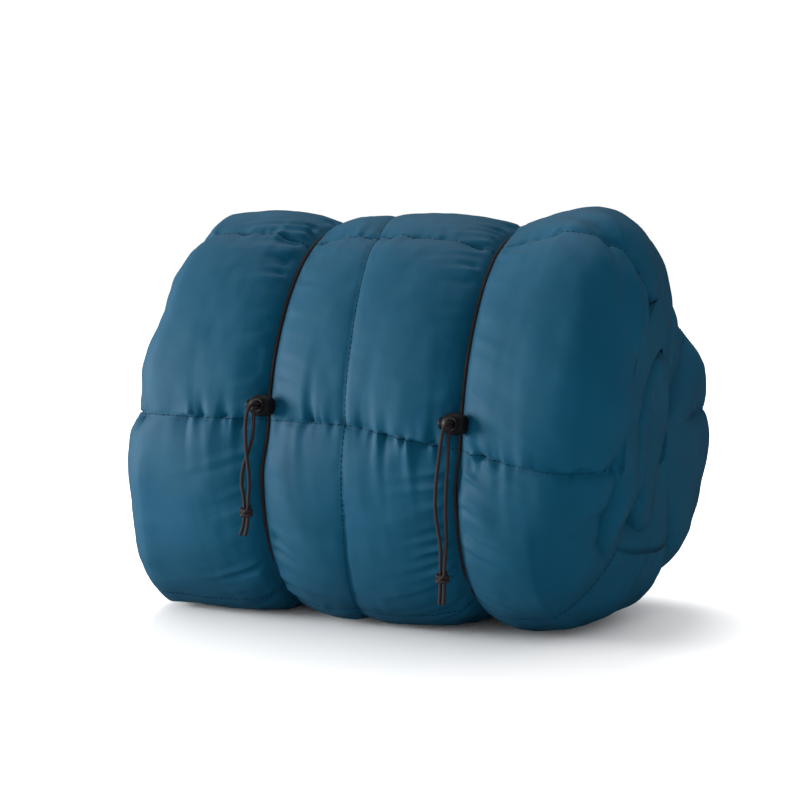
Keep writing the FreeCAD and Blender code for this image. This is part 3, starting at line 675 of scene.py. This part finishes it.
def make_loop(side, number):
    """The held loop of a cord: round the groove, then out through the lock side by side."""
    low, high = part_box(f"{side}_lock_barrel")
    front = (low + high) / 2 / MM
    lock_angle = math.degrees(math.atan2(front.z - AXIS_HEIGHT_MM, -front.y))
    radius = GROOVE_RADIUS_MM + CORD_DIAMETER_MM / 2 + 0.2
    strand = 1.5
    leave = math.degrees(5.5 / radius)
    angles = np.linspace(lock_angle + leave, lock_angle + 360 - leave, 260)
    x = groove_lines(angles - FREE_END_ANGLE + 360)[number]
    turn = np.radians(angles)
    loop = np.stack([x, -radius * np.cos(turn), AXIS_HEIGHT_MM + radius * np.sin(turn)], axis=1)
    lock = math.radians(lock_angle)
    away = np.array((0, -math.cos(lock), math.sin(lock)))
    along = np.array((0, math.sin(lock), math.cos(lock)))
    axis = np.array((GROOVES_MM[number], 0, AXIS_HEIGHT_MM))

    def through(sign):
        bend = [(4.2, 0.5), (2.9, 1.6), (2.0, 3.2), (strand, 5.5), (strand, 23.6)]
        return [axis + away * (radius + out) + along * sign * across for across, out in bend]

    path = np.concatenate([through(1)[::-1], loop, through(-1)]) * MM
    mesh = tube_mesh(f"{side}_loop", [path], CORD_DIAMETER_MM / 2 * MM, 12)
    cord = bpy.data.objects.new(f"{side}_cord_loop", mesh)
    bpy.context.scene.collection.objects.link(cord)
    return cord


def make_knot(side):
    """The overhand knot: the cord wound twice round both tails, with its last turn tucked across."""
    low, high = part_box(f"{side}_knot")
    centre = (low + high) / 2
    turns = 2.3
    count = 90
    share = np.linspace(0, 1, count)
    angle = 2 * math.pi * turns * share + 0.6
    wide = 4.2 - 1.3 * bump(share, 0.06) - 1.3 * bump(share - 1, 0.06)
    deep = 3.0 - 0.9 * bump(share, 0.06) - 0.9 * bump(share - 1, 0.06)
    height = 3.4 - 6.8 * share + 0.7 * np.sin(angle + 0.5)
    winding = np.stack([wide * np.cos(angle), deep * np.sin(angle), height], axis=1)
    slant = np.linspace(-1, 1, 24)
    across = np.stack([2.9 * slant, -3.3 + 1.2 * slant**2, 3.0 * slant], axis=1)
    paths = [np.array(centre) + path * MM for path in (winding, across)]
    mesh = tube_mesh(f"{side}_knot", paths, 1.35 * MM, 12)
    knot = bpy.data.objects.new(f"{side}_overhand_knot", mesh)
    bpy.context.scene.collection.objects.link(knot)
    return knot


# ---- materials --------------------------------------------------------------------------------------


def new_material(name, color, roughness, specular=0.5):
    """A principled material and its shader."""
    material = bpy.data.materials.new(name)
    material.use_nodes = True
    shader = material.node_tree.nodes["Principled BSDF"]
    shader.inputs["Base Color"].default_value = (*color, 1)
    shader.inputs["Roughness"].default_value = roughness
    shader.inputs["Specular IOR Level"].default_value = specular
    return material, shader


def texture(material, kind, scale, **settings):
    """A procedural texture in object coordinates."""
    nodes, links = material.node_tree.nodes, material.node_tree.links
    place = nodes.new("ShaderNodeTexCoord")
    node = nodes.new(kind)
    node.inputs["Scale"].default_value = scale
    for key, value in settings.items():
        if key in node.inputs:
            node.inputs[key].default_value = value
        else:
            setattr(node, key, value)
    links.new(place.outputs["Object"], node.inputs["Vector"])
    return node


def bumps(material, shader, layers):
    """Chains several height textures into the shader's normal."""
    nodes, links = material.node_tree.nodes, material.node_tree.links
    last = None
    for socket, distance, strength in layers:
        node = nodes.new("ShaderNodeBump")
        node.inputs["Distance"].default_value = distance
        node.inputs["Strength"].default_value = strength
        links.new(socket, node.inputs["Height"])
        if last is not None:
            links.new(last.outputs["Normal"], node.inputs["Normal"])
        last = node
    links.new(last.outputs["Normal"], shader.inputs["Normal"])


def mix_by(material, socket, first, second, low, high):
    """A colour that goes from one to the other as a texture goes from low to high."""
    nodes, links = material.node_tree.nodes, material.node_tree.links
    ramp = nodes.new("ShaderNodeValToRGB")
    ramp.color_ramp.elements[0].position = low
    ramp.color_ramp.elements[0].color = (*first, 1)
    ramp.color_ramp.elements[1].position = high
    ramp.color_ramp.elements[1].color = (*second, 1)
    links.new(socket, ramp.inputs["Fac"])
    return ramp.outputs["Color"]


def taffeta():
    """Thin down-proof polyester in teal: a soft sheen, a fine plain weave and tiny creases."""
    dark = (0.0007, 0.039, 0.075)
    pale = (0.0012, 0.045, 0.086)
    material, shader = new_material("teal_taffeta", (0.001, 0.042, 0.08), 0.75, 0.055)
    patches = texture(material, "ShaderNodeTexNoise", 14, Detail=3.0)
    color = mix_by(material, patches.outputs["Fac"], dark, pale, 0.35, 0.7)
    material.node_tree.links.new(color, shader.inputs["Base Color"])
    creases = texture(material, "ShaderNodeTexNoise", 85, Detail=4.0, Roughness=0.6)
    warp = texture(material, "ShaderNodeTexWave", 520, bands_direction="X")
    weft = texture(material, "ShaderNodeTexWave", 520, bands_direction="DIAGONAL")
    layers = [
        (creases.outputs["Fac"], 0.0012, 0.35),
        (warp.outputs["Fac"], 0.0001, 0.12),
        (weft.outputs["Fac"], 0.0001, 0.12),
    ]
    bumps(material, shader, layers)
    return material


def braid(name, color):
    """The woven sheath of elastic cord."""
    material, shader = new_material(name, color, 0.7, 0.03)
    strands = texture(material, "ShaderNodeTexWave", 260, bands_direction="DIAGONAL", Distortion=1.5)
    pale = tuple(c * 2.2 for c in color)
    mixed = mix_by(material, strands.outputs["Fac"], color, pale, 0.3, 0.9)
    material.node_tree.links.new(mixed, shader.inputs["Base Color"])
    bumps(material, shader, [(strands.outputs["Fac"], 0.0004, 0.6)])
    return material


def moulded(name, color, roughness):
    """Moulded plastic with a faint spark-eroded texture."""
    material, shader = new_material(name, color, roughness, 0.03)
    grain = texture(material, "ShaderNodeTexNoise", 900, Detail=2.0)
    bumps(material, shader, [(grain.outputs["Fac"], 0.0002, 0.25)])
    return material


def ribbon():
    """Ribbed polyester tape."""
    material, shader = new_material("hem_ribbon", (0.001, 0.03, 0.06), 0.7, 0.03)
    ribs = texture(material, "ShaderNodeTexWave", 700, bands_direction="Z")
    bumps(material, shader, [(ribs.outputs["Fac"], 0.0003, 0.6)])
    return material


def steel():
    """Bright spring wire."""
    material, shader = new_material("spring_steel", (0.5, 0.5, 0.5), 0.3)
    shader.inputs["Metallic"].default_value = 1.0
    scratches = texture(material, "ShaderNodeTexNoise", 1200)
    bumps(material, shader, [(scratches.outputs["Fac"], 0.0001, 0.2)])
    return material


# ---- camera, light and floor ------------------------------------------------------------------------


def aim(item, target):
    """Turns an object so that it looks at a point."""
    direction = Vector(target) - item.location
    item.rotation_euler = direction.to_track_quat("-Z", "Y").to_euler()


def make_camera():
    """A long lens from the front, a little to the right and above."""
    azimuth = math.radians(22.0)
    elevation = math.radians(7.8)
    distance = 1.8424
    level = math.cos(elevation)
    back = Vector((math.sin(azimuth) * level, -math.cos(azimuth) * level, math.sin(elevation)))
    right = Vector((math.cos(azimuth), math.sin(azimuth), 0))
    up = back.cross(right)
    centre = Vector((0, 0, 0.165))
    target = centre - right * 0.0236 + up * 0.0154
    data = bpy.data.cameras.new("camera")
    data.lens = 99
    data.sensor_width = 36
    data.clip_end = 50
    camera = bpy.data.objects.new("camera", data)
    camera.location = centre + back * distance
    bpy.context.scene.collection.objects.link(camera)
    aim(camera, target)
    bpy.context.scene.camera = camera


def area_light(name, place, target, size, power):
    """One soft square light."""
    data = bpy.data.lights.new(name, "AREA")
    data.size = size
    data.energy = power
    light = bpy.data.objects.new(name, data)
    light.location = place
    bpy.context.scene.collection.objects.link(light)
    aim(light, target)
    return light


def make_studio():
    """White floor, white surroundings and soft light from the front left and above.

    The cloth has deep, clean shadows and a broad sheen on the lobes' left flanks. So the floor and the
    surroundings aren't mirrored in it, and a second key light is seen only in reflections.
    """
    world = bpy.data.worlds.new("studio")
    world.use_nodes = True
    world.node_tree.nodes["Background"].inputs["Color"].default_value = (1, 1, 1, 1)
    world.node_tree.nodes["Background"].inputs["Strength"].default_value = 1.04
    bpy.context.scene.world = world
    world.cycles_visibility.glossy = False
    bpy.context.scene.view_settings.view_transform = "Standard"
    mesh = bpy.data.meshes.new("floor")
    half = 12
    corners = [(-half, -half, 0), (half, -half, 0), (half, half, 0), (-half, half, 0)]
    mesh.from_pydata(corners, [], [(0, 1, 2, 3)])
    floor = bpy.data.objects.new("floor", mesh)
    white, _ = new_material("floor_white", (0.97, 0.97, 0.97), 0.9, 0.0)
    floor.data.materials.append(white)
    bpy.context.scene.collection.objects.link(floor)
    floor.visible_glossy = False
    middle = (0, 0, 0.17)
    left = (-2.2, -1.25, 0.32)
    area_light("key", left, middle, 1.3, 155)
    area_light("key_gloss", left, middle, 1.3, 700).visible_diffuse = False
    area_light("top", (-0.5, 1.0, 2.0), middle, 1.2, 44)


# ---- the scene --------------------------------------------------------------------------------------


def make_quilt():
    """The rolled quilt and its stitching."""
    band = Band()
    swell_cover(band)
    add_relief(band)
    quilt = bpy.data.objects.new("quilt", band.mesh())
    quilt.data.materials.append(taffeta())
    bpy.context.scene.collection.objects.link(quilt)
    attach(quilt, "blanket")
    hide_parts("face_fabric", "lining_fabric", "batting")
    stitches = make_stitches(band)
    # The thread is coloured darker than the cloth. This is painted shade, so the stitches read as the dark
    # dashes of shadow along the seams.
    thread_painted_shade, _ = new_material("thread_painted_shade", (0.001, 0.022, 0.045), 0.6, 0.02)
    stitches.data.materials.append(thread_painted_shade)
    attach(stitches, "blanket")


def stand_for(piece, material, body, node):
    """Gives a piece its material and body, in the place of a CAD node, which it hides."""
    piece.data.materials.append(material)
    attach(piece, body)
    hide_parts(node)


def finish_cad_nodes(side, tape, black, wire):
    """Materials for the CAD nodes that show as they are, and a mesh of its own for the spring."""
    finishes = {
        f"{side}_cord_keeper": tape,
        f"{side}_lock_barrel": black,
        f"{side}_lock_plunger": black,
        f"{side}_lock_spring": wire,
    }
    for node, material in finishes.items():
        mesh = bpy.data.objects[node].data
        mesh.materials.clear()
        mesh.materials.append(material)
    spring = bpy.data.objects[f"{side}_lock_spring"]
    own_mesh(spring)


def make_hardware():
    """The held loops, the locks, and the free tails with their knots."""
    sheath = braid("shock_cord", (0.011, 0.008, 0.0085))
    black = moulded("lock_plastic", (0.006, 0.006, 0.007), 0.5)
    tape = ribbon()
    wire = steel()
    for number, side in enumerate(("left", "right")):
        stand_for(make_loop(side, number), sheath, "blanket", f"{side}_cord")
        finish_cad_nodes(side, tape, black, wire)
        knot = make_knot(side)
        stand_for(knot, sheath, f"{side}_lock", f"{side}_knot")
        for strand in ("a", "b"):
            name = f"{side}_tail_{strand}"
            tail = make_tail(name, TAILS[name])
            stand_for(tail, sheath, f"{side}_lock", name)


make_camera()
make_studio()
make_quilt()
make_hardware()
